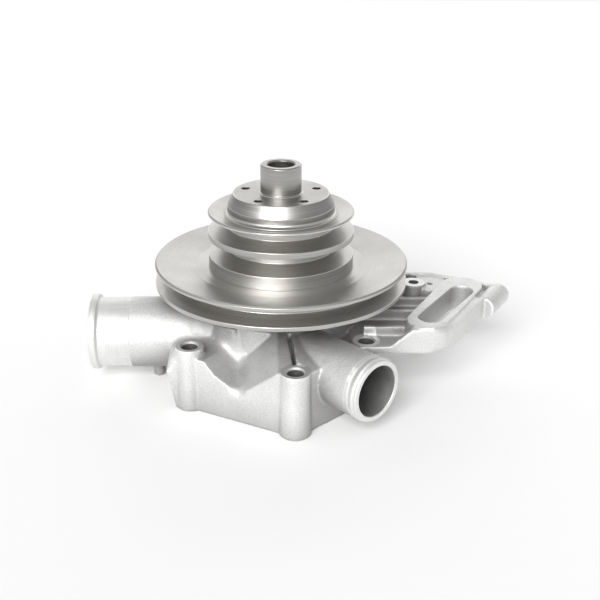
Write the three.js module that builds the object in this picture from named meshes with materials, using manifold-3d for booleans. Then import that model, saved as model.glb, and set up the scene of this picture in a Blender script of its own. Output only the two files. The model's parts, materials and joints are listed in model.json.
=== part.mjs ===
// Engine coolant pump with a stacked belt pulley. Millimetres, +Z up along the shaft.
// The origin is where the shaft axis meets the mounting face, so the casting's base is the plane z = 0.
import * as THREE from "three";
import { mergeVertices } from "three/addons/utils/BufferGeometryUtils.js";
import Module from "manifold-3d";

const wasm = await Module();
wasm.setup();

// ---- Driving dimensions ----
const GAP = 0.3; // between pieces that touch on the real pump
const SIDES = { pulley: 48, bore: 32, boss: 20, small: 12 }; // facets round a circle

const FOOT = { r: 9, topR: 8.1, h: 38, holeR: 4.6, holeTopR: 5.4 }; // mounting bosses and their columns
const SIDE_WALL = 5; // the walls stand this far outside the line between two bosses
const FEET = [
  [-52, -48.5],
  [7.8, -80.5],
  [49, -41.3],
  [46, 42],
  [0, 66],
  [-50, 44],
];
const BODY_TOP = 36; // flat top of the casting between its bosses
const DRUM = { low: 15, r: 49.2, top: 45, topR: 47.2 }; // wall round the impeller's space
const DOME = { r: 30, top: 54 }; // the drum's lid rises to the bearing neck
const NECK = { r: 23.5, top: 92 };
const CHAMBER = { r: 39.5, low: 18.3, top: 36 }; // the space the impeller turns in
const RECESS = { r: 44, wellR: 12, depth: 4.9, land: 8 }; // seat of the rear cover and its land's width
const PLENUM_TOP = 15.3; // water enters the impeller from below through this space
const WEAR_PLATE = { innerR: 17, r: 40, low: 15.6, top: 18 };
const INLET = { y: -10, z: 28.8, r: 21.2, beadR: 22.8, neckR: 20.6, bore: 18, end: -113.5, boreEnd: -47 };
const WELL = { x: -55, y: -10, r: 10, wall: 4 }; // leads the inlet down to the rear of the impeller
const OUTLET = { x: 52.1, y: -83, z: 27.5, r: 18, beadR: 18.5, bore: 14.6, angle: -46.5 };
const PORT = { x: 0, y: 48, r: 7.5, top: 30 }; // passage to the engine block in the mounting face

// Corners of the valley between the left and the middle boss, and of the rib behind the middle boss.
const VALLEY = {
  inner: [-25, -42.4, 24],
  leftTop: [-38, -30, 43],
  leftCrease: [-37.5, -61, 26],
  lowest: [-23, -68.8, 18.1],
  rightCrease: [-7.2, -77.2, 32.3],
};
const RIB = { foot: [-1, -80.6, 36.8], boss: [4.2, -72, 38], drum: [-0.8, -51, 47], flank: [-2.5, -52, 46] };
const SHOULDER = { rimLeft: [17, -80.5, 36.2], rimRight: [28, -70, 36.2], drum: [5, -50, 44.5] };
const DRUM_STEP = [[-26.6, -42.7], [-37.2, -35], [-36, -28], [-24, -38]]; // proud wall left of the valley
const INLET_RIDGE = { from: [-40.8, -32.3, 30.5], to: [-36.8, -31.3, 43], r: 1.1 }; // end of the inlet tube
const SHELF = 33; // low top of the casting beside the left boss

const WEB = { low: 33.6, top: 37.6 }; // floor of the bracket
const SLOT = { near: [86, -34.8], far: [110.6, 4.6], r: 7, top: 49.5 }; // adjusting slot
const SLOT_FRAME = { near: [83.8, -38, 11.8], far: [112.5, 14, 12.5] }; // x, y, radius of its two ends
const BRACKET_WALL = { front: 48.3, back: 48, rib: 43.5, thick: 4, pad: 46.8 };
const LUG = { from: [122.8, -3.4], to: [137, 20], z: 41, r: 7, seat: 44 };
const BACK_BOSS = { x: 83, y: 19, r: 7.2, top: 49, holeR: 3.2 };
const DRAIN_HOLE = { x: 93.7, y: 22.1, r: 1.7 };

const SHAFT = { r: 7.7, low: 16.5, top: 121 };
const BEARING = {
  r: 17.5, innerR: 13.5, low: 50.3, top: 91.5,
  pitchR: 10.6, elementR: 2.6, cageInner: 9.5, cageOuter: 11.7, count: 8,
};
const SEAL = { seatR: 16.8, cupTop: 45, faceZ: 37.6, springR: 14, springTurns: 3, wireR: 0.55 };
const DRAIN = { z: 47.8, r: 1.8, roomR: 16 }; // weep holes in the neck between the seal and the bearing
const BALL_Z = 83;
const ROLLER = { low: 55, top: 70 };
const IMPELLER = { r: 33, hubR: 12.5, low: 19, disc: 29.5, top: 33, blades: 6 };

const HUB = { spigotR: 12, boreR: 8, top: 130.8, flangeTop: 113.9, flangeR: 28, low: 101.7, pilotR: 13 };
const FAN_HOLES = { r: 2.6, pcr: 22, count: 5, start: -54 };
const TWIN = { r: 43, rootR: 32, innerR: 27, low: 69.3, top: 103.8, web: 96.5 };
const LARGE = { r: 75, rootR: 64, low: 59, innerR: 29, webLow: 64 };
const PULLEY_SCREW = { r: 2.4, headR: 4.3, pcr: 35, low: 59.4, top: 74, count: 5 };
const COVER_SCREW = { r: 2.2, headR: 4.2, length: 13, pcr: 39.6, count: 6 };

// ---- Geometry helpers ----
const rad = (degrees) => (degrees * Math.PI) / 180;

// A closed three.js geometry as a solid, turned the right way out.
function solid(geometry) {
  const g = geometry.index ? geometry.toNonIndexed() : geometry.clone();
  g.deleteAttribute("normal");
  g.deleteAttribute("uv");
  const merged = mergeVertices(g, 1e-4);
  const build = (triVerts) =>
    new wasm.Manifold(
      new wasm.Mesh({ numProp: 3, vertProperties: merged.attributes.position.array, triVerts }),
    );
  const indices = new Uint32Array(merged.index.array);
  const made = build(indices);
  return made.volume() > 0 ? made : build(indices.reverse());
}

// A solid of revolution about Z from [radius, z] points. Points off the axis close on themselves.
function turned(points, sides = SIDES.bore) {
  const profile = points.map(([r, z]) => new THREE.Vector2(r, z));
  const first = profile[0];
  const last = profile[profile.length - 1];
  if (first.x > 0 || last.x > 0) profile.push(first.clone());
  return solid(new THREE.LatheGeometry(profile, sides).rotateX(Math.PI / 2));
}

const disc = (r, low, high, sides) => turned([[0, low], [r, low], [r, high], [0, high]], sides);

const ring = (inner, outer, low, high, sides) =>
  turned([[inner, low], [outer, low], [outer, high], [inner, high]], sides);

// An upright cone or cylinder with its axis at x, y.
const post = (x, y, r0, r1, low, high, sides = SIDES.boss) =>
  turned([[0, low], [r0, low], [r1, high], [0, high]], sides).translate([x, y, 0]);

// A round bar between two points.
function bar(from, to, r, sides = SIDES.boss) {
  const a = new THREE.Vector3(...from);
  const along = new THREE.Vector3(...to).sub(a);
  const g = new THREE.CylinderGeometry(r, r, along.length(), sides);
  const turn = new THREE.Quaternion().setFromUnitVectors(
    new THREE.Vector3(0, 1, 0),
    along.clone().normalize(),
  );
  g.applyQuaternion(turn);
  g.translate(...a.addScaledVector(along, 0.5).toArray());
  return solid(g);
}

// An upright prism on an outline of [x, y] points.
function prism(points, low, high) {
  const shape = new THREE.Shape(points.map(([x, y]) => new THREE.Vector2(x, y)));
  const g = new THREE.ExtrudeGeometry(shape, { depth: high - low, bevelEnabled: false });
  return solid(g.translate(0, 0, low));
}

function box(low, high) {
  const size = high.map((v, i) => v - low[i]);
  const centre = high.map((v, i) => (v + low[i]) / 2);
  return solid(new THREE.BoxGeometry(...size).translate(...centre));
}

const circle = (x, y, r, sides) =>
  Array.from({ length: sides }, (_, i) => {
    const a = (2 * Math.PI * i) / sides;
    return [x + r * Math.cos(a), y + r * Math.sin(a)];
  });

// The tight outline round a set of points, anticlockwise.
function outlineRound(points) {
  const sorted = [...points].sort((a, b) => a[0] - b[0] || a[1] - b[1]);
  const turn = (o, a, b) => (a[0] - o[0]) * (b[1] - o[1]) - (a[1] - o[1]) * (b[0] - o[0]);
  const half = (list) => {
    const hull = [];
    for (const p of list) {
      while (hull.length > 1 && turn(hull.at(-2), hull.at(-1), p) <= 1e-9) hull.pop();
      hull.push(p);
    }
    return hull.slice(0, -1);
  };
  return [...half(sorted), ...half(sorted.reverse())];
}

const roundedHull = (circles, sides = SIDES.boss) =>
  outlineRound(circles.flatMap(([x, y, r]) => circle(x, y, r, sides)));

// All the space above the plane through three points, as a large block.
function spaceAbove(a, b, c) {
  const [p, q, r] = [a, b, c].map((point) => new THREE.Vector3(...point));
  const normal = q.sub(p).cross(r.sub(p)).normalize();
  if (normal.z < 0) normal.negate();
  const g = new THREE.BoxGeometry(300, 300, 300).translate(0, 0, 150);
  g.applyQuaternion(new THREE.Quaternion().setFromUnitVectors(new THREE.Vector3(0, 0, 1), normal));
  return solid(g.translate(...a));
}

const joined = (solids) => solids.reduce((all, s) => all.add(s));
const cutBy = (body, solids) => solids.reduce((all, s) => all.subtract(s), body);
const common = (solids) => solids.reduce((all, s) => all.intersect(s));

const around = (count, start, make) =>
  Array.from({ length: count }, (_, i) => make(rad(start + (360 * i) / count), i + 1));

// ---- Materials ----
const finish = (color, roughness, metalness) =>
  new THREE.MeshStandardMaterial({ color, roughness, metalness });
const castAluminium = finish(0xc9cac6, 0.6, 0.8);
const turnedSteel = finish(0xa9a7a2, 0.3, 1);
const groundSteel = finish(0xb8b8b8, 0.15, 1);
const castIron = finish(0x6b6a68, 0.7, 0.6);
const zincSteel = finish(0xb9b7a8, 0.35, 0.9);
const brass = finish(0xb08d4a, 0.35, 0.9);
const rubber = finish(0x1d1d1f, 0.85, 0);
const carbon = finish(0x2e2e30, 0.5, 0.2);
const ceramic = finish(0xe8e4da, 0.3, 0);
const fibre = finish(0x3d4a44, 0.9, 0);

const pump = new THREE.Group();
pump.name = "coolant_pump";

function add(name, body, material) {
  const { vertProperties, triVerts, numProp } = body.getMesh();
  const position = new Float32Array((vertProperties.length / numProp) * 3);
  for (let i = 0; i < position.length / 3; i++) {
    position.set(vertProperties.subarray(i * numProp, i * numProp + 3), i * 3);
  }
  const g = new THREE.BufferGeometry();
  g.setAttribute("position", new THREE.BufferAttribute(position, 3));
  g.setIndex(new THREE.BufferAttribute(triVerts, 1));
  g.computeVertexNormals();
  const mesh = new THREE.Mesh(g, material);
  mesh.name = name;
  pump.add(mesh);
}

// ---- Housing casting ----
const bodyPlan = roundedHull([
  [WELL.x, WELL.y, WELL.r + WELL.wall],
  ...FEET.map(([x, y]) => [x, y, SIDE_WALL]),
]);

const overRibFlank = () => spaceAbove(VALLEY.inner, VALLEY.rightCrease, RIB.flank);

function valley() {
  const { inner, leftTop, leftCrease, lowest, rightCrease } = VALLEY;
  return common([
    spaceAbove(inner, leftCrease, leftTop),
    spaceAbove(inner, leftCrease, lowest),
    spaceAbove(inner, lowest, rightCrease),
    overRibFlank(),
  ]);
}

// The rib climbs from the middle boss to the top of the drum.
function rib() {
  const outline = [[-26, -40], [-7, -84], [-1, -86], [6.6, -80], [6.8, -72], [2.4, -46], [2, -40]];
  const body = common([prism(outline, DRUM.low, DRUM.top + 5), prism(bodyPlan, 0, DRUM.top + 6)]);
  return cutBy(body, [overRibFlank(), spaceAbove(RIB.foot, RIB.boss, RIB.drum)]);
}

// The narrow gap between the rib and the outlet tube's flank.
function ribGap() {
  return prism([[6, -73], [8.4, -73], [5.6, -44], [1.6, -44]], 30, 60);
}

// The casting slopes down beside the outlet tube to the wall's top edge.
function outletShoulder() {
  const outline = [
    [16.4, -90], [36, -90], [34, -64], [13, -42], [5.6, -44], [8.4, -71.8], [14, -74.4], [16.4, -79],
  ];
  const body = prism(outline, BODY_TOP - 6, DRUM.top + 5).intersect(prism(bodyPlan, 0, DRUM.top + 6));
  return body.subtract(spaceAbove(SHOULDER.rimLeft, SHOULDER.rimRight, SHOULDER.drum));
}

function bodyBlock() {
  const shelf = prism([[-80, -70], [-30, -70], [-30, -24.5], [-80, -24.5]], SHELF, BODY_TOP + 1);
  const block = cutBy(prism(bodyPlan, 0, BODY_TOP).add(outletShoulder()), [valley(), ribGap(), shelf]);
  const { low, r, top, topR } = DRUM;
  const drum = turned([
    [0, low], [r, low], [topR, top], [topR - 2, top + 1.5], [DOME.r, DOME.top], [0, DOME.top],
  ]);
  const { from, to, r: ridgeR } = INLET_RIDGE;
  const ridge = bar(from, to, ridgeR, SIDES.small);
  return joined([block, drum, rib(), prism(DRUM_STEP, DRUM.low, DRUM.top), ridge]);
}

function outletAxis(distance) {
  const a = rad(OUTLET.angle);
  return [OUTLET.x + distance * Math.cos(a), OUTLET.y + distance * Math.sin(a), OUTLET.z];
}

function hoseTubes() {
  const { y, z, r, beadR, neckR, end } = INLET;
  const turnedEnd = end + 24;
  const inlet = [
    bar([turnedEnd, y, z], [-38.5, y, z], r, SIDES.bore),
    bar([end, y, z], [end + 4.5, y, z], beadR, SIDES.bore),
    bar([end + 4, y, z], [turnedEnd + 1, y, z], neckR, SIDES.bore),
    bar([-75, y, 0], [-75, y, 12], 3.6, SIDES.small), // cast pip under the tube
  ];
  const outlet = [
    bar(outletAxis(0), outletAxis(-7), OUTLET.r - 0.2, SIDES.bore),
    bar(outletAxis(-2.5), outletAxis(-4), OUTLET.beadR, SIDES.bore),
    bar(outletAxis(-6.5), outletAxis(-70), OUTLET.r, SIDES.bore),
  ];
  return joined([...inlet, ...outlet]);
}

// The web that braces the inlet tube on the left column.
function inletWeb() {
  const side = [[-65.5, 24], [-60.6, 0], [-50, 0], [-50, SHELF], [-64, SHELF]];
  const g = new THREE.ExtrudeGeometry(
    new THREE.Shape(side.map(([x, z]) => new THREE.Vector2(x, z))),
    { depth: 20, bevelEnabled: false },
  );
  return solid(g.rotateX(Math.PI / 2).translate(0, -33, 0));
}

function footColumns() {
  const columns = FEET.map(([x, y]) => post(x, y, FOOT.r, FOOT.topR, 0, FOOT.h));
  return joined(columns);
}

function footHoles() {
  const holes = FEET.flatMap(([x, y]) => [
    post(x, y, FOOT.holeR, FOOT.holeR, -1, FOOT.h + 1),
    post(x, y, FOOT.holeR, FOOT.holeTopR, FOOT.h - 1, FOOT.h + 0.1),
  ]);
  return joined(holes);
}

// The bracket's front wall climbs from the boss height to the slot frame.
function frontWall() {
  const { front, thick } = BRACKET_WALL;
  const side = [[55, WEB.low], [92, WEB.low], [92, front], [74, front], [62, FOOT.h], [55, FOOT.h]];
  const g = new THREE.ExtrudeGeometry(
    new THREE.Shape(side.map(([x, z]) => new THREE.Vector2(x, z))),
    { depth: thick, bevelEnabled: false },
  );
  return solid(g.rotateX(Math.PI / 2).translate(0, -50 + thick, 0));
}

// The bracket's walls and floor, each an outline with its height.
const BRACKET_PARTS = {
  floor: [
    [[40, -50], [92, -50], [96.7, -45.7], [122.8, -4.1], [137, 16], [96, 38], [83, 38.5], [62, 36], [40, 30]],
    WEB.top,
  ],
  corner: [[[74, -46], [80, -50], [92, -50], [96.7, -45.7], [90, -34]], BRACKET_WALL.front],
  side: [[[96.7, -45.7], [122.8, -4.1], [116, -2], [92, -42]], BRACKET_WALL.front],
  lugSeat: [[[112, -6], [122.8, -4.1], [137, 16], [118, 27]], LUG.seat],
  backRim: [
    [[96, 35], [136, 13.5], [137.4, 16.4], [96.5, 38.4], [83, 38.8], [83, 35.4]],
    BRACKET_WALL.back,
  ],
  pad: [[[89, 12], [97, 10], [106, 26], [100, 36], [86, 36], [88, 24]], BRACKET_WALL.pad],
  curl: [
    [[83, 35.4], [83, 38.8], [73.5, 35.5], [67.5, 27], [70.6, 25.4], [75.5, 32.5]],
    BRACKET_WALL.back,
  ],
};
const BRACKET_RIBS = [
  { y: -34, to: 80 },
  { y: -12, to: 96 },
  { y: 8, to: 96 },
];

function bracket() {
  const slabs = Object.values(BRACKET_PARTS).map(([outline, top]) => prism(outline, WEB.low, top));
  const frame = prism(roundedHull([SLOT_FRAME.near, SLOT_FRAME.far]), WEB.low, SLOT.top);
  const lug = bar([...LUG.from, LUG.z], [...LUG.to, LUG.z], LUG.r);
  const ribs = BRACKET_RIBS.map(({ y, to }) => box([48, y - 1.5, WEB.low], [to, y + 1.5, BRACKET_WALL.rib]));
  const { x, y, r, top, holeR } = BACK_BOSS;
  const boss = post(x, y, r + 0.6, r, WEB.low, top);
  const slot = prism(roundedHull([SLOT.near, SLOT.far].map((end) => [...end, SLOT.r])), 30, 60);
  const drain = DRAIN_HOLE;
  const drainHole = post(drain.x, drain.y, drain.r, drain.r, 30, 60, SIDES.small);
  const all = joined([...slabs, frontWall(), frame, lug, boss, ...ribs]);
  return cutBy(all, [slot, post(x, y, holeR, holeR, 30, 60), drainHole]);
}

const coverPlan = (inset) =>
  roundedHull([
    [0, 0, RECESS.r - inset],
    [WELL.x, WELL.y, RECESS.wellR - inset],
  ], SIDES.bore);

// Everything that is cored or machined out of the casting.
function hollows() {
  const { y, z, bore, end, boreEnd } = INLET;
  return joined([
    prism(coverPlan(0), -1, RECESS.depth),
    prism(coverPlan(RECESS.land), RECESS.depth - 0.1, PLENUM_TOP),
    disc(WEAR_PLATE.r + GAP, PLENUM_TOP - 0.3, CHAMBER.low, SIDES.bore),
    disc(CHAMBER.r, CHAMBER.low - 0.1, CHAMBER.top, SIDES.bore),
    bar([end - 1, y, z], [boreEnd, y, z], bore, SIDES.bore),
    post(WELL.x, WELL.y, WELL.r, WELL.r, RECESS.depth - 0.1, z, SIDES.boss),
    bar(outletAxis(1), outletAxis(-52), OUTLET.bore, SIDES.bore),
    prism(outletThroat(), CHAMBER.low + 0.4, CHAMBER.top - 0.8),
    post(PORT.x, PORT.y, PORT.r, PORT.r, -1, PORT.top),
    box([-6, 30, 20], [6, PORT.y, PORT.top]),
    disc(SEAL.seatR, CHAMBER.top - 1, SEAL.cupTop + GAP, SIDES.bore),
    disc(DRAIN.roomR, SEAL.cupTop, BEARING.low + 0.7, SIDES.bore),
    disc(BEARING.r + GAP, BEARING.low - GAP, NECK.top + 1, SIDES.bore),
    ...[-1, 1].map((side) => bar([0, side * 15, DRAIN.z], [0, side * 48, DRAIN.z], DRAIN.r, SIDES.small)),
  ]);
}

// The volute's throat, from the chamber to the outlet bore.
function outletThroat() {
  const [x, y] = outletAxis(-48);
  const a = rad(OUTLET.angle);
  const side = [-Math.sin(a) * 11, Math.cos(a) * 11];
  return [
    [x - side[0] - 22 * Math.cos(a), y - side[1] - 22 * Math.sin(a)],
    [x - side[0], y - side[1]],
    [x + side[0], y + side[1]],
    [x + side[0] - 22 * Math.cos(a), y + side[1] - 22 * Math.sin(a)],
  ];
}

const screwSpots = around(COVER_SCREW.count, 60, (a) => {
  const { pcr } = COVER_SCREW;
  return [pcr * Math.cos(a), pcr * Math.sin(a)];
});

function housing() {
  const shell = joined([
    bodyBlock(), hoseTubes(), inletWeb(), footColumns(), bracket(),
    disc(NECK.r, DRUM.top, NECK.top, SIDES.bore),
    turned([[0, DOME.top - 4], [DOME.r, DOME.top - 4], [NECK.r, DOME.top + 6], [0, DOME.top + 6]]),
  ]);
  const holeR = COVER_SCREW.r + GAP;
  const deep = COVER_SCREW.length + 1;
  const screwHoles = screwSpots.map(([x, y]) => post(x, y, holeR, holeR, 0, deep, SIDES.small));
  add("housing", cutBy(shell, [hollows(), footHoles(), ...screwHoles]), castAluminium);
}

// ---- Rear cover, its gasket and screws ----
function rearCover() {
  const { r, headR, length } = COVER_SCREW;
  const holeR = r + GAP;
  const plateTop = 3.5;
  const plate = prism(coverPlan(GAP), 0, plateTop);
  const gasketWindow = prism(coverPlan(RECESS.land - 0.4), plateTop, RECESS.depth + 1);
  const gasket = prism(coverPlan(GAP + 0.2), plateTop + GAP, RECESS.depth - GAP).subtract(gasketWindow);
  const cones = screwSpots.map(([x, y]) => post(x, y, headR + GAP, holeR, -0.01, 2.6, 16));
  const through = screwSpots.map(([x, y]) => post(x, y, holeR, holeR, -1, 8, SIDES.small));
  add("rear_cover", cutBy(plate, [...cones, ...through]), zincSteel);
  add("cover_gasket", cutBy(gasket, through), fibre);
  screwSpots.forEach(([x, y], i) => {
    const body = turned([[0, 0.2], [headR, 0.2], [r, 2.5], [r, length], [0, length]], SIDES.small);
    const socket = disc(1.5, -1, 1.6, 6);
    add(`cover_screw_${i + 1}`, body.subtract(socket).translate([x, y, 0]), zincSteel);
  });
}

// ---- Impeller side ----
function wearPlate() {
  const { innerR, r, low, top } = WEAR_PLATE;
  add("wear_plate", ring(innerR, r, low, top, SIDES.bore), zincSteel);
}

function impeller() {
  const { r, hubR, low, disc: discLow, top, blades } = IMPELLER;
  const hub = ring(SHAFT.r + GAP, hubR, low, top, SIDES.boss);
  const shroud = ring(SHAFT.r + GAP, r, discLow, top, SIDES.bore);
  // Each blade sweeps outward from inside the hub to just short of the shroud's edge.
  const blade = (start) => {
    const steps = 6;
    const sweep = rad(48);
    const thickness = rad(6);
    const root = hubR - 1.5;
    const tip = r - 0.5;
    const side = (offset) =>
      Array.from({ length: steps + 1 }, (_, i) => {
        const a = start + (sweep * i) / steps + offset;
        const reach = root + ((tip - root) * i) / steps;
        return [reach * Math.cos(a), reach * Math.sin(a)];
      });
    return prism([...side(0), ...side(thickness).reverse()], low, discLow + 0.5);
  };
  add("impeller", joined([hub, shroud, ...around(blades, 0, blade)]), castIron);
}

// ---- Shaft and bearing ----
function shaft() {
  const { r, low, top } = SHAFT;
  const profile = [[0, low], [r - 0.8, low], [r, low + 0.8], [r, top - 0.8], [r - 0.8, top], [0, top]];
  add("shaft", turned(profile, SIDES.bore), groundSteel);
}

function bearing() {
  const { r, innerR, low, top, pitchR, elementR, cageInner, cageOuter, count } = BEARING;
  add("bearing_outer_ring", ring(innerR, r, low, top, SIDES.bore), groundSteel);
  const place = (a) => [pitchR * Math.cos(a), pitchR * Math.sin(a)];
  const pocketR = elementR + GAP;
  const ballPocket = (a) => {
    const out = (k) => [k * Math.cos(a), k * Math.sin(a), BALL_Z];
    return bar(out(cageInner - 2), out(cageOuter + 2), pocketR, SIDES.small);
  };
  const rollerPocket = (a) =>
    post(...place(a), pocketR, pocketR, ROLLER.low - GAP, ROLLER.top + GAP, SIDES.small);
  const ballCage = ring(cageInner, cageOuter, BALL_Z - 4.4, BALL_Z + 4.4, SIDES.bore);
  const rollerCage = ring(cageInner, cageOuter, ROLLER.low - 2.5, ROLLER.top + 2.5, SIDES.bore);
  add("ball_cage", cutBy(ballCage, around(count, 0, ballPocket)), brass);
  add("roller_cage", cutBy(rollerCage, around(count, 0, rollerPocket)), brass);
  around(count, 0, (a, i) => {
    const [x, y] = place(a);
    const ball = new THREE.SphereGeometry(elementR, 12, 8).rotateX(Math.PI / 2).translate(x, y, BALL_Z);
    const roller = post(x, y, elementR, elementR, ROLLER.low, ROLLER.top, SIDES.small);
    add(`bearing_ball_${i}`, solid(ball), groundSteel);
    add(`bearing_roller_${i}`, roller, groundSteel);
  });
  add("bearing_seal_front", ring(SHAFT.r + GAP, innerR - GAP, top - 2.4, top - 0.6, SIDES.boss), rubber);
  add("bearing_seal_rear", ring(SHAFT.r + GAP, innerR - GAP, low + 0.2, low + 1.4, SIDES.boss), rubber);
}

function slinger() {
  const bore = SHAFT.r + GAP;
  const profile = [[bore, 46.2], [9.6, 46.2], [14, 47.2], [14, 48], [9.6, 48.8], [bore, 48.8]];
  add("slinger", turned(profile, SIDES.boss), rubber);
}

// ---- Shaft seal ----
function shaftSeal() {
  const { seatR, cupTop, faceZ, springR, springTurns, wireR } = SEAL;
  const cupR = seatR - 0.4;
  const sheet = 0.5;
  const cup = [
    [8.8, cupTop], [cupR, cupTop], [cupR, faceZ], [cupR - sheet, faceZ],
    [cupR - sheet, cupTop - sheet], [8.8, cupTop - sheet],
  ];
  add("seal_cup", turned(cup, SIDES.boss), brass);
  add("seal_bellows", ring(9, 12.2, 41.2, 44, SIDES.boss), rubber);
  add("seal_carbon_ring", ring(8.4, 12.2, faceZ, 40.9, SIDES.boss), carbon);
  add("seal_seat_ring", ring(SHAFT.r + GAP, 13.5, IMPELLER.top + GAP, faceZ - GAP, SIDES.boss), ceramic);
  const coil = new THREE.Curve();
  coil.getPoint = (t) => {
    const a = 2 * Math.PI * springTurns * t;
    return new THREE.Vector3(springR * Math.cos(a), springR * Math.sin(a), 38.8 + 4.8 * t);
  };
  const wire = new THREE.Shape(circle(0, 0, wireR, 6).map(([x, y]) => new THREE.Vector2(x, y)));
  const spring = new THREE.ExtrudeGeometry(wire, { steps: springTurns * 12, extrudePath: coil });
  add("seal_spring", solid(spring), groundSteel);
}

// ---- Pulley stack ----
function fanHub() {
  const { spigotR, boreR, top, flangeTop, flangeR, low, pilotR } = HUB;
  const profile = [
    [boreR, 92.5], [pilotR - 0.6, 92.5], [pilotR, 93.1], [pilotR, low], [33.5, low], [32.2, 102.2],
    [31.3, 103.4], [31.3, 106.8], [31, 107.5], [flangeR, flangeTop - 0.4], [flangeR - 0.5, flangeTop],
    [spigotR + 1, flangeTop], [spigotR, flangeTop + 0.8], [spigotR, top - 0.6],
    [spigotR - 0.6, top], [boreR + 0.5, top], [boreR, top - 0.5],
  ];
  const hole = (a) => {
    const { r, pcr } = FAN_HOLES;
    return post(pcr * Math.cos(a), pcr * Math.sin(a), r, r, low - 1, flangeTop + 1, 16);
  };
  const holes = around(FAN_HOLES.count, FAN_HOLES.start, hole);
  add("fan_hub", cutBy(turned(profile, SIDES.pulley), holes), turnedSteel);
}

function twinGroovePulley() {
  const { r, rootR, innerR, low, top, web } = TWIN;
  const profile = [
    [innerR, low], [r, low], [r, 77.4], [rootR, 81.2], [rootR, 84.2], [r, 88], [r, 91.6],
    [rootR, 94.7], [rootR, 97.8], [r, 102], [r, 103.2], [42.2, top - 0.1], [34, 101.4],
    [HUB.pilotR + GAP, 101.4], [HUB.pilotR + GAP, web], [innerR, web - 2],
  ];
  const body = turned(profile, SIDES.pulley);
  add("twin_groove_pulley", cutBy(body, pulleyScrewHoles(low - 1, PULLEY_SCREW.top + GAP)), turnedSteel);
}

function largePulley() {
  const { r, rootR, low, innerR, webLow } = LARGE;
  const profile = [
    [innerR, webLow], [54, webLow], [58.5, low + 1.2], [60, low], [r - 0.4, low], [r, low + 0.4],
    [r, 61.6], [rootR, 64.8], [rootR, 67.9], [r, 71.1], [r, 72.6], [r - 0.8, 73.4],
    [52, 69.4], [43.6, 69], [innerR, 69],
  ];
  const body = turned(profile, SIDES.pulley);
  add("large_pulley", cutBy(body, pulleyScrewHoles(low, 80)), turnedSteel);
}

const pulleyScrewHoles = (low, high) =>
  around(PULLEY_SCREW.count, 0, (a) => {
    const { r, pcr } = PULLEY_SCREW;
    return post(pcr * Math.cos(a), pcr * Math.sin(a), r + GAP, r + GAP, low, high, 12);
  });

function pulleyScrews() {
  const { r, headR, pcr, low, top, count } = PULLEY_SCREW;
  const under = LARGE.webLow - GAP;
  around(count, 0, (a, i) => {
    const body = turned([[0, low], [headR, low], [headR, under], [r, under], [r, top], [0, top]], 12);
    const socket = disc(2, low - 1, low + 2.2, 6);
    const screw = body.subtract(socket).translate([pcr * Math.cos(a), pcr * Math.sin(a), 0]);
    add(`pulley_screw_${i}`, screw, zincSteel);
  });
}

housing();
rearCover();
wearPlate();
impeller();
shaft();
bearing();
slinger();
shaftSeal();
fanHub();
twinGroovePulley();
largePulley();
pulleyScrews();

export default pump;
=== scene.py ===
import json
import math

import bmesh
import bpy
import numpy as np
from mathutils import Matrix, Vector


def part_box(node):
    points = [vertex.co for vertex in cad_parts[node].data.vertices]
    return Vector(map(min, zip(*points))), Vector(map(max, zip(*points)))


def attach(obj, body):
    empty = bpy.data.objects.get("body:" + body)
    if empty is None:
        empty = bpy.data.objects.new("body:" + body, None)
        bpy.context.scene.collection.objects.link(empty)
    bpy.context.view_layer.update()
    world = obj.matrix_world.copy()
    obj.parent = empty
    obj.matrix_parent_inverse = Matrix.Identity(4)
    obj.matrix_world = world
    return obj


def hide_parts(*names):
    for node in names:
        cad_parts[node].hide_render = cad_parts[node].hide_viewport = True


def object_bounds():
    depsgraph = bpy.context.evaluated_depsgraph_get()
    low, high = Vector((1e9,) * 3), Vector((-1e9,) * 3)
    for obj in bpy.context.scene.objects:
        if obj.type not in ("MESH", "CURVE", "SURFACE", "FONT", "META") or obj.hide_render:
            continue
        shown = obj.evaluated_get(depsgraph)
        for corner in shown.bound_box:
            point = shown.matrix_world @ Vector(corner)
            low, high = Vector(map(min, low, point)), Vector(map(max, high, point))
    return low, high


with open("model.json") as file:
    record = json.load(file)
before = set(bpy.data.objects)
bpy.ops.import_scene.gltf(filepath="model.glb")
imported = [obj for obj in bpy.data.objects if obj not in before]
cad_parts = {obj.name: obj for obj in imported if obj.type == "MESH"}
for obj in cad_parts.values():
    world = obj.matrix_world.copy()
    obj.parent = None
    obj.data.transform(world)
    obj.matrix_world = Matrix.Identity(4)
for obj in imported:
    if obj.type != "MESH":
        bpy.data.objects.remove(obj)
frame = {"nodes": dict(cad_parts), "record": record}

CAD_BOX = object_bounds()
MM = 0.001

# ---------------------------------------------------------------- mesh helpers


def new_object(name, data):
    obj = bpy.data.objects.new(name, data)
    bpy.context.scene.collection.objects.link(obj)
    return obj


def mesh_from(name, vertices, faces):
    mesh = bpy.data.meshes.new(name)
    mesh.from_pydata([Vector(v) * MM for v in vertices], [], faces)
    mesh.validate()
    return mesh


def filleted(points, steps=4):
    """A closed (r, z) outline whose corners with a third value are rounded to that radius."""
    out = []
    count = len(points)
    for i, point in enumerate(points):
        here = Vector(point[:2])
        radius = point[2] if len(point) > 2 else 0
        if radius == 0:
            out.append(here)
            continue
        back = Vector(points[i - 1][:2]) - here
        ahead = Vector(points[(i + 1) % count][:2]) - here
        half = back.angle(ahead) / 2
        reach = min(radius / math.tan(half), 0.48 * back.length, 0.48 * ahead.length)
        a = here + back.normalized() * reach
        b = here + ahead.normalized() * reach
        for k in range(steps + 1):
            t = k / steps
            out.append(a.lerp(here, t).lerp(here.lerp(b, t), t))
    return out


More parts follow.
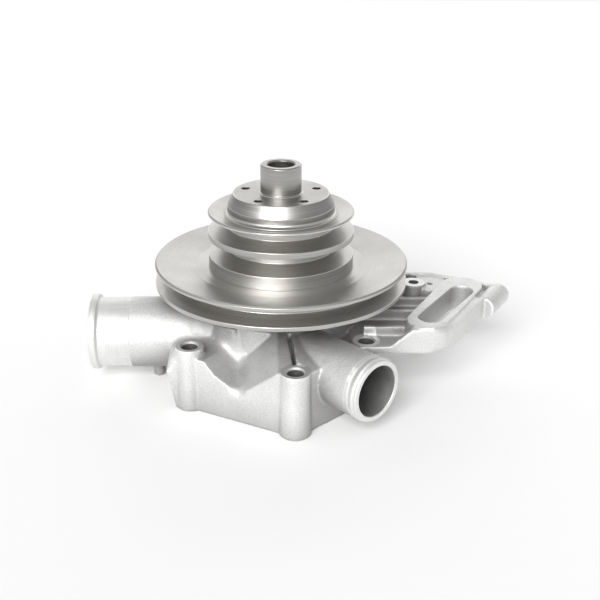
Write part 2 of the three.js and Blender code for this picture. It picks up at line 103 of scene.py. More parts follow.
def lathed(name, outline, sides):
    """A solid of revolution about Z from a closed outline of (r, z[, fillet]) points in millimetres."""
    profile = filleted(outline)
    on_axis = [p.x < 1e-6 for p in profile]
    vertices, index = [], []
    for p, axis in zip(profile, on_axis):
        ring = []
        for s in range(1 if axis else sides):
            a = 2 * math.pi * s / sides
            ring.append(len(vertices))
            vertices.append((p.x * math.cos(a), p.x * math.sin(a), p.y))
        index.append(ring * sides if axis else ring)
    faces = []
    for i in range(len(profile)):
        one, two = index[i], index[(i + 1) % len(profile)]
        for s in range(sides):
            t = (s + 1) % sides
            face = list(dict.fromkeys([one[s], one[t], two[t], two[s]]))
            if len(face) > 2:
                faces.append(face)
    return new_object(name, tidy(mesh_from(name, vertices, faces)))


def tidy(mesh):
    """The mesh with doubled points joined and its faces turned outwards."""
    bm = bmesh.new()
    bm.from_mesh(mesh)
    bmesh.ops.remove_doubles(bm, verts=bm.verts, dist=1e-7)
    bmesh.ops.recalc_face_normals(bm, faces=bm.faces)
    bm.to_mesh(mesh)
    bm.free()
    return mesh


def shifted(obj, offset):
    """The object's mesh moved by millimetres."""
    obj.data.transform(Matrix.Translation(Vector(offset) * MM))
    return obj


def round_bar(name, start, end, r, sides=96, inner=0.0):
    """A round bar, or a tube, between two points."""
    start, end = Vector(start), Vector(end)
    length = (end - start).length
    bar = lathed(name, [(inner, 0), (r, 0), (r, length), (inner, length)], sides)
    turn = (end - start).to_track_quat("Z", "Y").to_matrix().to_4x4()
    bar.data.transform(Matrix.Translation(start * MM) @ turn)
    return bar


def applied(obj):
    """The object's modifiers made real."""
    graph = bpy.context.evaluated_depsgraph_get()
    mesh = bpy.data.meshes.new_from_object(obj.evaluated_get(graph))
    obj.modifiers.clear()
    obj.data = mesh
    return obj


def combine(body, tools, operation):
    """The tools joined to, or cut from, a closed body one after another; the tools are used up."""
    for tool in tools:
        step = body.modifiers.new("step", "BOOLEAN")
        step.operation = operation
        step.solver = "MANIFOLD"
        step.object = tool
        applied(body)
        bpy.data.objects.remove(tool)
    return body


def merged(objects):
    """Separate solids that don't touch, as one object."""
    bm = bmesh.new()
    for obj in objects:
        bm.from_mesh(obj.data)
        bpy.data.objects.remove(obj)
    mesh = bpy.data.meshes.new("merged")
    bm.to_mesh(mesh)
    bm.free()
    return new_object("merged", mesh)


def shade(obj, angle):
    """Smooth shading that keeps wide flat faces flat and edges over the angle sharp."""
    obj.data.shade_smooth()
    obj.data.set_sharp_from_angle(angle=math.radians(angle))
    normals = obj.modifiers.new("normals", "WEIGHTED_NORMAL")
    normals.keep_sharp = True
    normals.weight = 90
    return obj


def piece(obj, name, node, body, slot, *materials):
    """Names a finished piece, gives it its materials, rides it on its body and hides its CAD node."""
    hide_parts(node)
    obj.name = name
    obj.data.name = name
    obj.data.materials.clear()
    for material in materials:
        obj.data.materials.append(material)
    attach(obj, body)
    return obj


# ---------------------------------------------------------------- materials


def scaled(colour, factor):
    """A colour made darker or lighter, each channel up to 1."""
    return tuple(min(1, factor * c) for c in colour)


def toned(colour, red, green, blue):
    """A colour with a weight on each channel."""
    return tuple(c * w for c, w in zip(colour, (red, green, blue)))


class Nodes:
    """A short way to wire a material's nodes."""

    def __init__(self, name):
        self.material = bpy.data.materials.new(name)
        self.material.use_nodes = True
        self.tree = self.material.node_tree
        self.shader = self.tree.nodes["Principled BSDF"]

    def add(self, kind, inputs=None, **settings):
        node = self.tree.nodes.new(kind)
        for key, value in settings.items():
            setattr(node, key, value)
        for key, value in (inputs or {}).items():
            self.put(node.inputs[key], value)
        return node

    def put(self, socket, value):
        if isinstance(value, bpy.types.NodeSocket):
            self.tree.links.new(value, socket)
        elif isinstance(value, bpy.types.Node):
            self.tree.links.new(value.outputs[0], socket)
        else:
            socket.default_value = value

    def math(self, operation, a, b):
        return self.add("ShaderNodeMath", {0: a, 1: b}, operation=operation)

    def position(self):
        return self.add("ShaderNodeTexCoord").outputs["Object"]

    def noise(self, vector, scale, detail, roughness):
        inputs = {"Vector": vector, "Scale": scale, "Detail": detail, "Roughness": roughness}
        return self.add("ShaderNodeTexNoise", inputs).outputs["Fac"]

    def ramp(self, value, stops):
        node = self.add("ShaderNodeValToRGB", {"Fac": value})
        elements = node.color_ramp.elements
        while len(elements) < len(stops):
            elements.new(0.5)
        for element, (place, colour) in zip(elements, stops):
            element.position = place
            element.color = (*colour, 1) if hasattr(colour, "__len__") else (colour, colour, colour, 1)
        return node.outputs["Color"]

    def remap(self, value, low, high, to_low, to_high):
        node = self.add("ShaderNodeMapRange", {"Value": value, 1: low, 2: high, 3: to_low, 4: to_high})
        return node.outputs[0]

    def mix(self, factor, a, b, blend="MIX"):
        node = self.add("ShaderNodeMix", data_type="RGBA", blend_type=blend)
        self.put(node.inputs["Factor"], factor)
        self.put(node.inputs["A"], (*a, 1) if isinstance(a, tuple) else a)
        self.put(node.inputs["B"], (*b, 1) if isinstance(b, tuple) else b)
        return node.outputs["Result"]

    def bump(self, height, distance, strength=1.0, under=None):
        inputs = {"Height": height, "Distance": distance, "Strength": strength}
        if under is not None:
            inputs["Normal"] = under
        return self.add("ShaderNodeBump", inputs).outputs["Normal"]

    def set(self, **values):
        for key, value in values.items():
            self.put(self.shader.inputs[key.replace("_", " ")], value)
        return self.material


def edge_wear(n):
    """1 where the surface turns over an edge, 0 elsewhere."""
    point = n.add("ShaderNodeNewGeometry").outputs["Pointiness"]
    return n.remap(point, 0.52, 0.6, 0.0, 1.0)


def cast_aluminium(name, level):
    """Bead-blasted cast aluminium: a grey near the level, with painted shade that darkens it in the corners.
    """
    n = Nodes(name)
    grey = (level, level, level)
    at = n.position()
    grain = n.noise(at, 1500, 4, 0.65)
    coarse = n.noise(at, 260, 4, 0.6)
    cloud = n.noise(at, 38, 3, 0.5)
    tone = n.ramp(cloud, [(0.3, toned(grey, 0.93, 0.93, 0.92)), (0.7, toned(grey, 1.07, 1.07, 1.06))])
    speck = n.ramp(grain, [(0.34, 0.72), (0.62, 1.0)])
    colour = n.mix(0.8, tone, speck, "MULTIPLY")
    colour = n.mix(edge_wear(n), colour, toned(grey, 1.2, 1.2, 1.19))
    # Painted shade: where ambient occlusion finds corners, recesses and the space under the pulley, the grey
    # is mixed towards a dark grey.
    corner_shade_ao = n.add("ShaderNodeAmbientOcclusion", {"Distance": 0.03}, samples=8).outputs["AO"]
    colour = n.mix(n.remap(corner_shade_ao, 0.35, 0.9, 0.75, 0.0), colour, toned(grey, 0.30, 0.295, 0.285))
    rough = n.remap(coarse, 0.3, 0.7, 0.50, 0.66)
    normal = n.bump(coarse, 0.0002)
    normal = n.bump(grain, 0.00018, under=normal)
    return n.set(Base_Color=colour, Metallic=0.75, Roughness=rough, Normal=normal)


def around_axis(n, at):
    """Radius about Z, height and turning angle of an object position."""
    xyz = n.add("ShaderNodeSeparateXYZ", {"Vector": at})
    flat = n.add("ShaderNodeCombineXYZ", {"X": xyz.outputs["X"], "Y": xyz.outputs["Y"]})
    radius = n.add("ShaderNodeVectorMath", {0: flat.outputs[0]}, operation="LENGTH").outputs["Value"]
    angle = n.math("ARCTAN2", xyz.outputs["Y"], xyz.outputs["X"]).outputs[0]
    return radius, xyz.outputs["Z"], angle


def turned_steel(name, base, roughness, anisotropic):
    """Steel turned in a lathe about Z: fine rings that wander a little, and soft uneven sheen."""
    n = Nodes(name)
    at = n.position()
    radius, z, angle = around_axis(n, at)
    wander = n.math("MULTIPLY", angle, 0.00006).outputs[0]
    rings_at = n.add("ShaderNodeCombineXYZ", {
        "X": n.math("ADD", radius, wander), "Y": z, "Z": n.math("MULTIPLY", angle, 0.0004)})
    rings = n.noise(rings_at.outputs[0], TOOL_LINES, 2, 0.5)
    bands = n.noise(rings_at.outputs[0], TOOL_LINES / 8, 2, 0.5)
    stain = n.noise(at, 45, 3, 0.6)
    tone = n.ramp(bands, [(0.35, scaled(base, 0.90)), (0.65, scaled(base, 1.06))])
    tone = n.mix(n.remap(stain, 0.35, 0.75, 0.0, 0.30), tone, toned(base, 0.88, 0.83, 0.76))
    rough = n.math("ADD", n.remap(bands, 0.3, 0.7, roughness - 0.04, roughness + 0.05),
                   n.remap(stain, 0.3, 0.7, -0.02, 0.04))
    normal = n.bump(rings, 0.00001, 0.8)
    tangent = n.add("ShaderNodeTangent", direction_type="RADIAL", axis="Z").outputs[0]
    return n.set(Base_Color=tone, Metallic=1.0, Roughness=rough, Anisotropic=anisotropic,
                 Normal=normal, Tangent=tangent)


def machined_aluminium():
    """Milled and turned faces of the casting: bright, with fine tool lines."""
    n = Nodes("machined_aluminium")
    at = n.position()
    lines = n.noise(at, 2600, 2, 0.5)
    cloud = n.noise(at, 70, 3, 0.5)
    colour = n.ramp(cloud, [(0.3, (0.70, 0.70, 0.69)), (0.7, (0.80, 0.80, 0.79))])
    rough = n.remap(lines, 0.3, 0.7, 0.42, 0.54)
    return n.set(Base_Color=colour, Metallic=0.75, Roughness=rough, Normal=n.bump(lines, 0.00002))


def ringed_aluminium(name, axis):
    """Turned zones of the hose stubs: tool rings square to the stub's axis."""
    n = Nodes(name)
    at = n.position()
    along = n.add("ShaderNodeVectorMath", {0: at, 1: axis}, operation="DOT_PRODUCT").outputs["Value"]
    spot = n.add("ShaderNodeVectorMath", {0: at, 1: (40, 40, 40)}, operation="MULTIPLY")
    turn = n.add("ShaderNodeCombineXYZ", {"X": n.math("MULTIPLY", along, 2600.0)})
    where = n.add("ShaderNodeVectorMath", {0: turn, 1: spot}, operation="ADD")
    rings = n.noise(where, 1.0, 2, 0.5)
    grain = n.noise(at, 1100, 3, 0.6)
    cloud = n.noise(at, 60, 3, 0.5)
    colour = n.ramp(cloud, [(0.3, (0.74, 0.74, 0.73)), (0.7, (0.82, 0.82, 0.81))])
    colour = n.mix(n.remap(grain, 0.25, 0.42, 0.25, 0.0), colour, (0.42, 0.42, 0.41))
    colour = n.mix(edge_wear(n), colour, (0.84, 0.84, 0.83))
    colour = n.mix(0.35, colour, n.ramp(rings, [(0.35, 0.75), (0.6, 1.0)]), "MULTIPLY")
    rough = n.remap(rings, 0.3, 0.7, 0.48, 0.6)
    return n.set(Base_Color=colour, Metallic=0.75, Roughness=rough, Normal=n.bump(rings, 0.00008))


def plain_metal(name, base, roughness, metallic=1.0, grain=900.0, depth=0.00002):
    """Ground, plated or cast small pieces: a fine grain and uneven tone."""
    n = Nodes(name)
    at = n.position()
    fine = n.noise(at, grain, 3, 0.6)
    cloud = n.noise(at, 90, 3, 0.5)
    colour = n.ramp(cloud, [(0.3, scaled(base, 0.85)), (0.7, scaled(base, 1.12))])
    colour = n.mix(edge_wear(n), colour, scaled(base, 1.35))
    rough = n.remap(fine, 0.3, 0.7, roughness - 0.06, roughness + 0.08)
    return n.set(Base_Color=colour, Metallic=metallic, Roughness=rough, Normal=n.bump(fine, depth))


STEEL = (0.53, 0.523, 0.508)
TOOL_LINES = 9000.0  # noise scale of the rings that a lathe tool leaves
# Painted highlight: a lighter, glossier steel for the narrow faces that round the pulleys' lips.
LIP_HIGHLIGHT_STEEL = turned_steel("lip_highlight_steel", (0.70, 0.69, 0.67), 0.28, 0.3)
CAST = cast_aluminium("cast_aluminium", 0.80)
# Painted shade: a dark copy of the cast grey for the walls of bores and holes.
SHADED_BORE = cast_aluminium("shaded_bore_aluminium", 0.38)
MACHINED = machined_aluminium()
HUB_STEEL = turned_steel("hub_steel", scaled(STEEL, 0.76), 0.34, 0.5)
PULLEY_STEEL = turned_steel("pulley_steel", STEEL, 0.37, 0.5)
SLOT_MATERIALS = {
    "ground_steel": plain_metal("ground_steel", (0.60, 0.60, 0.60), 0.18, grain=2500, depth=0.000005),
    "zinc_steel": plain_metal("zinc_steel", (0.58, 0.57, 0.52), 0.34),
    "cast_iron": plain_metal("cast_iron", (0.16, 0.155, 0.15), 0.62, 0.8, 700, 0.0001),
    "brass": plain_metal("brass", (0.70, 0.50, 0.22), 0.32),
    "rubber": plain_metal("rubber", (0.02, 0.02, 0.021), 0.72, 0.0, 1200, 0.00004),
    "carbon": plain_metal("carbon", (0.04, 0.04, 0.045), 0.42, 0.1),
    "ceramic": plain_metal("ceramic", (0.80, 0.77, 0.70), 0.22, 0.0, 2000, 0.000005),
    "gasket_fibre": plain_metal("gasket_fibre", (0.09, 0.13, 0.11), 0.85, 0.0, 1500, 0.00006),
    "turned_steel": PULLEY_STEEL,
    "cast_aluminium": CAST,
}

# ---------------------------------------------------------------- pulley stack

FAN_HOLE_CIRCLE, FAN_HOLE_FIRST = 22, -54
BOLT_CIRCLE, BOLT_HOLE = 35, 2.7
SPIGOT, SPIGOT_BORE = 12.0, 8.0
WIDEST_LIP = 0.62
GROOVE_DEPTH = 11
# Heights of each V groove's lower lip, the two sides of its floor and its upper lip.
LOW_TWIN_GROOVE = (77.2, 81.2, 84.2, 88.0)
TOP_TWIN_GROOVE = (91.6, 94.8, 97.8, 101.9)
LARGE_GROOVE = (61.6, 64.8, 67.9, 71.1)


def mark_lips(obj):
    """The narrow faces that round a turned piece's edges get its second material, a lighter steel that
    paints a highlight on the lips.
    """
    mesh = obj.data
    for face in mesh.polygons:
        at = [mesh.vertices[v].co / MM for v in face.vertices]
        radii = [math.hypot(v.x, v.y) for v in at]
        heights = [v.z for v in at]
        width = math.hypot(max(radii) - min(radii), max(heights) - min(heights))
        if width < WIDEST_LIP and abs(face.normal.z) < 0.93:
            # This face gets the painted-highlight steel.
            face.material_index = 1


def top_of(node):
    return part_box(node)[1].z / MM


def low_of(node):
    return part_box(node)[0].z / MM


def reach_of(node):
    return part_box(node)[1].x / MM


def five_holes(outline, circle, first=0):
    """Cutters for five holes spaced evenly on a circle about Z, the first at that many degrees."""
    tools = []
    for i in range(5):
        a = math.radians(first + 72 * i)
        tools.append(shifted(lathed("hole", outline, 40), (circle * math.cos(a), circle * math.sin(a), 0)))
    return merged(tools)


def bolt_holes(low, high):
    return five_holes([(0, low), (BOLT_HOLE, low), (BOLT_HOLE, high), (0, high)], BOLT_CIRCLE)


def v_groove(r, heights, low_lip, high_lip):
    """The outline of a V groove in a rim of radius r, from its lower lip to its upper one."""
    low, floor_low, floor_high, high = heights
    root = r - GROOVE_DEPTH
    return [(r, low, low_lip), (root, floor_low, 0.5), (root, floor_high, 0.5), (r, high, high_lip)]


def turned_piece(obj, name, node, steel):
    """A finished piece of the rotor, with painted highlights on its lips."""
    piece(shade(obj, 28), name, node, "rotor", "turned_steel", steel, LIP_HIGHLIGHT_STEEL)
    mark_lips(obj)


def fan_hub():
    top, low = top_of("fan_hub"), low_of("fan_hub")
    flange = top - 16.9
    outline = [
        (SPIGOT_BORE, low, 0.2), (12.4, low, 0.3), (13.0, low + 0.6), (13.0, flange - 12.2),
        (33.6, flange - 12.2), (33.7, flange - 12.1), (33.4, flange - 11.7, 0.3), (31.5, flange - 10.7, 1.6),
        (31.3, flange - 6.7, 0.8), (28.1, flange - 0.2, 0.25), (27.7, flange, 0.2),
        (13.2, flange, 0.2), (12.9, flange + 0.45, 0.3), (SPIGOT, flange + 0.6, 0.25),
        (SPIGOT, top - 0.7, 0.2), (SPIGOT - 0.7, top, 0.15),
        (SPIGOT_BORE + 0.7, top, 0.15), (SPIGOT_BORE, top - 0.8, 0.2),
    ]
    hole = [(0, flange - 14), (2.5, flange - 14), (2.5, flange - 0.5), (2.9, flange + 1), (0, flange + 1)]
    hub = lathed("fan_hub", outline, 192)
    combine(hub, [five_holes(hole, FAN_HOLE_CIRCLE, FAN_HOLE_FIRST)], "DIFFERENCE")
    turned_piece(hub, "fan_hub_turned", "fan_hub", HUB_STEEL)


def twin_groove_pulley():
    node = "twin_groove_pulley"
    top, low, r = top_of(node), low_of(node), reach_of(node)
    seat = 101.4
    outline = [
        (27, low, 0.4), (r - 0.1, low), (r, low + 0.1),
        *v_groove(r, LOW_TWIN_GROOVE, 0.5, 0.35), *v_groove(r, TOP_TWIN_GROOVE, 0.35, 0.35),
        (r, top - 0.9, 0.45), (r - 0.9, top - 0.1, 0.5), (34.4, seat + 0.24, 0.2), (32, seat + 0.24, 0.1),
        (31.6, seat, 0.1), (13.3, seat, 0.2), (13.3, 96.5, 0.3), (27, 94.5, 2.0),
    ]
    pulley = lathed("twin", outline, 224)
    combine(pulley, [bolt_holes(low - 1, 74.3)], "DIFFERENCE")
    turned_piece(pulley, "twin_groove_pulley_turned", node, PULLEY_STEEL)


def large_pulley():
    node = "large_pulley"
    top, low, r = top_of(node), low_of(node), reach_of(node)
    seat = 69.0
    outline = [
        (29, 64, 0.3), (54, 64, 1.0), (58.5, low + 1.2, 1.0), (60, low, 0.4), (r - 0.5, low, 0.3),
        (r, low + 0.5, 0.3), *v_groove(r, LARGE_GROOVE, 0.4, 0.4),
        (r, 72.5, 0.3), (r - 0.9, top, 0.35), (52.5, 69.55, 0.4), (51.9, 69.35, 0.3), (46.5, 69.1, 0.5),
        (43.6, seat + 0.26, 0.3), (41.6, seat + 0.26, 0.1), (41.2, seat, 0.1), (29, seat, 0.2),
    ]
    pulley = lathed("large", outline, 288)
    combine(pulley, [bolt_holes(low - 1, 80)], "DIFFERENCE")
    turned_piece(pulley, "large_pulley_turned", node, PULLEY_STEEL)


# ---------------------------------------------------------------- housing

FEET = [(-52, -48.5), (7.8, -80.5), (49, -41.3), (46, 42), (0, 66), (-50, 44)]
FOOT_TOP, FOOT_HOLE = 38.0, 4.6
INLET_AXIS = (-10.0, 28.8)
INLET_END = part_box("housing")[0].x / MM
INLET_BORE, INLET_TURNED = 18.1, 24.0
OUTLET_FACE = Vector((52.1, -83.0, 27.5))
OUTLET_TURN = math.radians(-46.5)
OUTLET_DIRECTION = Vector((math.cos(OUTLET_TURN), math.sin(OUTLET_TURN), 0))
OUTLET_BORE = 14.7
SLOT = [(86, -34.8, 7), (110.6, 4.6, 7)]
SLOT_FRAME = [(83.8, -38, 11.8), (112.5, 14, 12.5)]
LUG = (Vector((122.8, -3.4, 41)), Vector((137, 20, 41)))
BACK_BOSS, BACK_BOSS_TOP, BACK_BOSS_HOLE = (83, 19), 49, 3.2
SMALL_HOLE = (93.7, 22.1)
WEB_LOW, FRAME_TOP = 33.6, 49.5
WELL, ENGINE_PORT = (-55, -10), (0, 48)
CHAMBER_LOW = 4.8
VOXEL, SOFT_STEPS = ((0.75, 240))


def inlet_bar(start, end, r, inner=0.0):
    y, z = INLET_AXIS
    return round_bar("inlet", (start, y, z), (end, y, z), r, 128, inner)


def outlet_at(back, side=0.0):
    """A point that far back from the outlet's face and to the side of its axis."""
    return OUTLET_FACE - OUTLET_DIRECTION * back + OUTLET_DIRECTION.cross(Vector((0, 0, 1))) * side


def outlet_bar(start, end, r, inner=0.0):
    return round_bar("outlet", outlet_at(end), outlet_at(start), r, 128, inner)


def at_inlet(obj):
    """Lays a piece that was lathed about Z on the inlet's axis, its foot at the stub's end."""
    y, z = INLET_AXIS
    place = Matrix.Translation(Vector((INLET_END, y, z)) * MM)
    obj.data.transform(place @ Matrix.Rotation(math.pi / 2, 4, "Y"))
    return obj


def at_outlet(obj):
    """Lays a piece that was lathed about Z on the outlet's axis, its foot at the stub's end."""
    turn = (-OUTLET_DIRECTION).to_track_quat("Z", "Y").to_matrix().to_4x4()
    obj.data.transform(Matrix.Translation(OUTLET_FACE * MM) @ turn)
    return obj


def cone_post(x, y, r0, r1, low, high, sides=72):
    """An upright round post, r0 at its foot and r1 at its top."""
    return shifted(lathed("post", [(0, low), (r0, low), (r1, high), (0, high)], sides), (x, y, 0))


def hull_post(circles, low, high):
    """An upright solid on the tight outline round circles of (x, y, r)."""
    bm = bmesh.new()
    for x, y, r in circles:
        for k in range(96):
            a = 2 * math.pi * k / 96
            for z in (low, high):
                bm.verts.new(Vector((x + r * math.cos(a), y + r * math.sin(a), z)) * MM)
    hull = bmesh.ops.convex_hull(bm, input=bm.verts)
    inside = [v for v in hull["geom_interior"] if isinstance(v, bmesh.types.BMVert)]
    bmesh.ops.delete(bm, geom=inside, context="VERTS")
    mesh = bpy.data.meshes.new("hull")
    bm.to_mesh(mesh)
    bm.free()
    return new_object("hull", tidy(mesh))


def true_round_walls():
    """Walls that are cylinders and cones on the real casting, over the CAD solid's facets."""
    return [
        *[cone_post(x, y, 9.0, 8.1, 0, FOOT_TOP) for x, y in FEET],
        inlet_bar(-89.5, -40.2, 21.2, 18.8),
        outlet_bar(6.5, 45, 18.0, 15.4),
        round_bar("lug", *LUG, 7.0),
        hull_post(SLOT_FRAME, WEB_LOW, FRAME_TOP),
        cone_post(*BACK_BOSS, 7.8, 7.2, WEB_LOW, BACK_BOSS_TOP),
        lathed("drum", [(46, 15), (49.2, 15), (47.2, 45), (46, 45)], 160),
        lathed("neck", [(20.5, 55), (23.5, 55), (23.5, 92), (20.5, 92)], 128),
    ]


def passages():
    """The water's way through the casting, cut again after the round walls are added."""
    throat = [(*outlet_at(back, side).xy, 0.1) for back in (48, 70) for side in (-10.9, 10.9)]
    return [
        inlet_bar(INLET_END - 1, -47, 18),
        outlet_bar(-1, 52, 14.6),
        cone_post(*WELL, 10, 10, CHAMBER_LOW, 28.8),
        hull_post([(0, 0, 36), (*WELL, 4)], CHAMBER_LOW, 15.3),
        hull_post(throat, 18.7, 35.2),
        cone_post(*ENGINE_PORT, 7.5, 7.5, -1, 30),
        hull_post(SLOT, 30, 55),
    ]


# Corners that are rounded more than the rest, each by its centre, reach and strength.
SOFT_SPOTS = [
    # the valley between the front feet
    ((-25, -42.4, 24), 9, 1.0),
    ((-29, -41, 29), 10, 1.0),
    ((-33, -38.5, 34), 11, 1.0),
    ((-37, -35, 40), 9, 1.0),
    ((-24, -55, 21), 8, 0.5),
    ((-16, -60, 28), 7, 0.4),
    ((-23.4, -66, 18.8), 7, 0.8),
    ((-26.6, -42.7, 40), 5, 0.3),
    # the ledge under the inlet stub
    ((-52, -32, 33), 8, 1.0),
    ((-60, -33, 32), 9, 1.0),
    ((-62, -42, 32), 9, 1.0),
    ((-63, -50, 31), 8, 0.9),
    ((-43, -34, 33), 5, 0.8),
    # the bracket's front corner
    ((94, -49, 36), 9, 0.9),
    ((94, -49, 42), 9, 0.9),
    ((94, -49, 47), 8, 0.8),
]


def soften(body):
    """Rounds the casting near the soft spots."""
    mesh = body.data
    at = np.zeros(len(mesh.vertices) * 3)
    mesh.vertices.foreach_get("co", at)
    at = at.reshape(-1, 3) / MM
    weight = np.zeros(len(at))
    for centre, reach, strength in SOFT_SPOTS:
        near = 1 - np.linalg.norm(at - np.array(centre), axis=1) / reach
        weight = np.maximum(weight, strength * np.clip(2 * near, 0, 1))
    group = body.vertex_groups.new(name="soft")
    for level in range(1, 11):
        chosen = np.flatnonzero(np.round(weight * 10) == level)
        group.add(chosen.tolist(), level / 10, "REPLACE")
    smooth = body.modifiers.new("soften", "SMOOTH")
    smooth.factor = 0.5
    smooth.iterations = SOFT_STEPS
    smooth.vertex_group = group.name
    return applied(body)


def rounded_casting():
    """The housing's CAD solid with true round walls, its edges and corners softened as a casting's are."""
    copy = bpy.data.meshes.new("casting")
    bm = bmesh.new()
    bm.from_mesh(frame["nodes"]["housing"].data)
    bmesh.ops.remove_doubles(bm, verts=bm.verts, dist=1e-6)
    bm.to_mesh(copy)
    bm.free()
    body = new_object("casting", copy)
    combine(body, true_round_walls(), "UNION")
    combine(body, passages(), "DIFFERENCE")
    remesh = body.modifiers.new("remesh", "REMESH")
    remesh.mode = "VOXEL"
    remesh.voxel_size = VOXEL * MM
    smooth = body.modifiers.new("smooth", "SMOOTH")
    smooth.factor = 0.5
    smooth.iterations = 3
    return soften(applied(body))


def machined_lands():
    """Crisp turned and faced solids that stand on the casting."""
    lands = [cone_post(x, y, 8.1, 8.0, FOOT_TOP - 1.5, FOOT_TOP) for x, y in FEET]
    lands.append(cone_post(*BACK_BOSS, 7.2, 7.1, 46, BACK_BOSS_TOP))
    inlet_outline = [
        (0, 0), (21.6, 0, 0.5), (22.8, 1.2, 0.8), (22.8, 3.4, 0.6), (21.2, 4.3, 0.4), (20.5, 4.6, 0.3),
        (20.7, 5.6, 0.4), (20.8, INLET_TURNED - 0.4, 0.2), (21.15, INLET_TURNED, 0.2), (21.15, 26), (0, 26),
    ]
    outlet_outline = [
        (0, 0), (17.4, 0, 0.4), (17.8, 0.6, 0.3), (17.8, 2.3, 0.15), (18.35, 2.6, 0.2), (18.35, 3.7, 0.2),
        (17.7, 4.0, 0.15), (17.7, 5.9, 0.2), (18.0, 6.4, 0.3), (18.0, 9), (0, 9),
    ]
    inlet = at_inlet(lathed("inlet_end", inlet_outline, 192))
    outlet = at_outlet(lathed("outlet_end", outlet_outline, 160))
    return [merged(lands), inlet, outlet]


def machined_cuts():
    """Crisp bores and holes that are drilled in the casting."""
    mouth = FOOT_HOLE + 1
    foot_hole = [(0, -1), (FOOT_HOLE, -1), (FOOT_HOLE, FOOT_TOP - 1), (mouth, FOOT_TOP + 0.1),
                 (mouth, FOOT_TOP + 1), (0, FOOT_TOP + 1)]
    holes = [shifted(lathed("hole", foot_hole, 64), (x, y, 0)) for x, y in FEET]
    holes.append(cone_post(*BACK_BOSS, BACK_BOSS_HOLE, BACK_BOSS_HOLE, 30, 60, 48))
    holes.append(cone_post(*SMALL_HOLE, 1.7, 1.7, 30, 60, 32))
    inlet = [(0, -1), (19.2, -1), (INLET_BORE, 0.5), (INLET_BORE, 60), (0, 60)]
    outlet = [(0, -1), (15.6, -1), (OUTLET_BORE, 0.6), (OUTLET_BORE, 42), (0, 42)]
    return [merged(holes), at_inlet(lathed("bore", inlet, 160)), at_outlet(lathed("bore", outlet, 160))]


def mark_finish(body):
    """Gives each face of the housing the finish that its place calls for, and the walls of bores and holes a
    dark grey that paints the shade inside them; the rest stays as cast.
    """
    faced, turned_inlet, turned_outlet, shaded_bore = 1, 2, 3, 4
    mesh = body.data
    count = len(mesh.polygons)
    centre = np.zeros(count * 3)
    normal = np.zeros(count * 3)
    mesh.polygons.foreach_get("center", centre)
    mesh.polygons.foreach_get("normal", normal)
    p, n = centre.reshape(-1, 3) / MM, normal.reshape(-1, 3)
    index = np.zeros(count, dtype=np.int32)
    for x, y in FEET:
        r = np.hypot(p[:, 0] - x, p[:, 1] - y)
        index[(r < 8.2) & (p[:, 2] > FOOT_TOP - 0.1)] = faced
        # The foot holes' walls get the painted-shade grey.
        index[(r < 5.7) & (p[:, 2] < FOOT_TOP - 0.6)] = shaded_bore
    r = np.hypot(p[:, 0] - BACK_BOSS[0], p[:, 1] - BACK_BOSS[1])
    index[(r < 7.3) & (p[:, 2] > BACK_BOSS_TOP - 0.1)] = faced
    # The back boss's hole gets the painted-shade grey.
    index[(r < BACK_BOSS_HOLE + 0.2) & (p[:, 2] < BACK_BOSS_TOP - 0.1)] = shaded_bore
    index[(p[:, 2] < 0.3) & (n[:, 2] < -0.9)] = faced
    y, z = INLET_AXIS
    r = np.hypot(p[:, 1] - y, p[:, 2] - z)
    index[(p[:, 0] < INLET_END + INLET_TURNED + 0.1) & (r > INLET_BORE - 0.6)] = turned_inlet
    from_face = p - np.array(OUTLET_FACE)
    back = -from_face @ np.array(OUTLET_DIRECTION)
    side = np.linalg.norm(np.cross(from_face, np.array(OUTLET_DIRECTION)), axis=1)
    in_bore = side < OUTLET_BORE + 0.2
    outside_drum = np.hypot(p[:, 0], p[:, 1]) > 46
    index[(back < 7.2) & (side < 18.5) & ~in_bore] = turned_outlet
    # The outlet's bore gets the painted-shade grey.
    index[(back > 0.5) & (back < 50) & in_bore & outside_drum] = shaded_bore
    mesh.polygons.foreach_set("material_index", index)


def housing():
    body = rounded_casting()
    combine(body, machined_lands(), "UNION")
    combine(body, machined_cuts(), "DIFFERENCE")
    inlet_ringed = ringed_aluminium("turned_inlet", (1, 0, 0))
    outlet_ringed = ringed_aluminium("turned_outlet", tuple(OUTLET_DIRECTION))
    # The last material is the painted-shade grey for the walls of bores and holes.
    piece(shade(body, 35), "housing_casting", "housing", "housing", "cast_aluminium",
          CAST, MACHINED, inlet_ringed, outlet_ringed, SHADED_BORE)
    mark_finish(body)


# ---------------------------------------------------------------- other CAD nodes

BROKEN_EDGE = 0.15


def dress_cad_nodes():
    """Every CAD node gets its slot's material, and those that still show a fine broken edge."""
    slots = {s["node"]: s["material_slot"] for s in frame["record"]["subparts"]}
    for name, obj in frame["nodes"].items():
        obj.data.materials.clear()
        obj.data.materials.append(SLOT_MATERIALS[slots[name]])
        if obj.hide_render:
            continue
        bevel = obj.modifiers.new("edges", "BEVEL")
        bevel.width = BROKEN_EDGE * MM
        bevel.segments = 2
        bevel.limit_method = "ANGLE"
        bevel.angle_limit = math.radians(40)


# ---------------------------------------------------------------- set

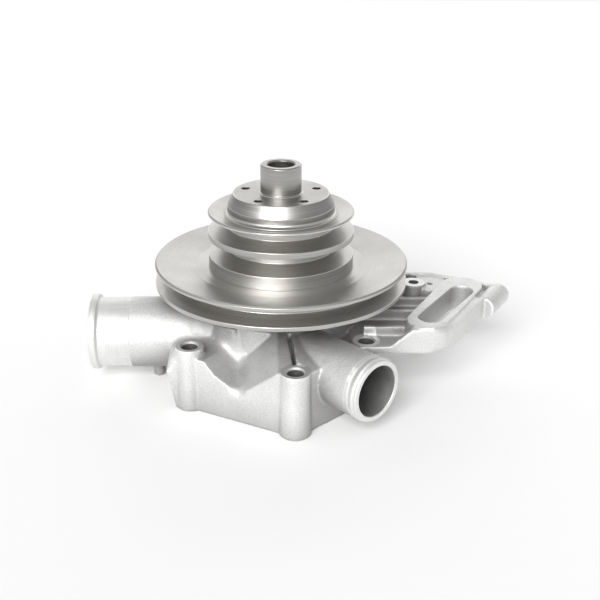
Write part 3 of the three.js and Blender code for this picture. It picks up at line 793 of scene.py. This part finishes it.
CAMERA_PLACE = Vector((0, -548.8, 286.2)) * MM
CAMERA_PITCH = 23.72
FOCAL_SHARE = 1.6365  # focal length as a share of the picture's width
PICTURE_SHIFT = 19 / 600
SENSOR = 36
BACKDROP_PLACE = Vector((0.1, 1.6, 0.75))
BACKDROP_AIM = Vector((0, 0, 0.05))
KEY_DIRECTION = Vector((0.26, 0.83, -0.52))


def camera():
    data = bpy.data.cameras.new("camera")
    data.sensor_width = SENSOR
    data.lens = SENSOR * FOCAL_SHARE
    data.shift_x = PICTURE_SHIFT
    data.clip_start = 0.01
    obj = new_object("camera", data)
    obj.location = CAMERA_PLACE
    obj.rotation_euler = (math.radians(90 - CAMERA_PITCH), 0, 0)
    bpy.context.scene.camera = obj


def light(name, kind, energy, direction):
    """A light that shines along a direction."""
    data = bpy.data.lights.new(name, kind)
    data.energy = energy
    obj = new_object(name, data)
    obj.rotation_euler = direction.to_track_quat("-Z", "Y").to_euler()
    return obj


def floor():
    bm = bmesh.new()
    bmesh.ops.create_grid(bm, x_segments=1, y_segments=1, size=6)
    mesh = bpy.data.meshes.new("floor")
    bm.to_mesh(mesh)
    bm.free()
    obj = new_object("floor", mesh)
    obj.location.z = CAD_BOX[0][2] - 0.0002
    n = Nodes("floor_paper")
    cloud = n.noise(n.position(), 2, 2, 0.5)
    n.set(Base_Color=n.ramp(cloud, [(0.3, 0.90), (0.7, 0.93)]), Roughness=0.9)
    mesh.materials.append(n.material)


def studio():
    world = bpy.data.worlds.new("studio")
    world.use_nodes = True
    sky = world.node_tree.nodes["Background"].inputs
    sky["Color"].default_value = (1, 1, 1, 1)
    sky["Strength"].default_value = 0.46
    bpy.context.scene.world = world
    backdrop = light("backdrop", "AREA", 11, BACKDROP_AIM - BACKDROP_PLACE)
    backdrop.location = BACKDROP_PLACE
    backdrop.data.shape = "RECTANGLE"
    backdrop.data.size, backdrop.data.size_y = 2.4, 1.2
    key = light("key", "SUN", 3.2, KEY_DIRECTION)
    key.data.angle = math.radians(38)
    bpy.context.scene.view_settings.view_transform = "Standard"
    bpy.context.scene.view_settings.look = "None"


fan_hub()
twin_groove_pulley()
large_pulley()
housing()
dress_cad_nodes()
camera()
floor()
studio()
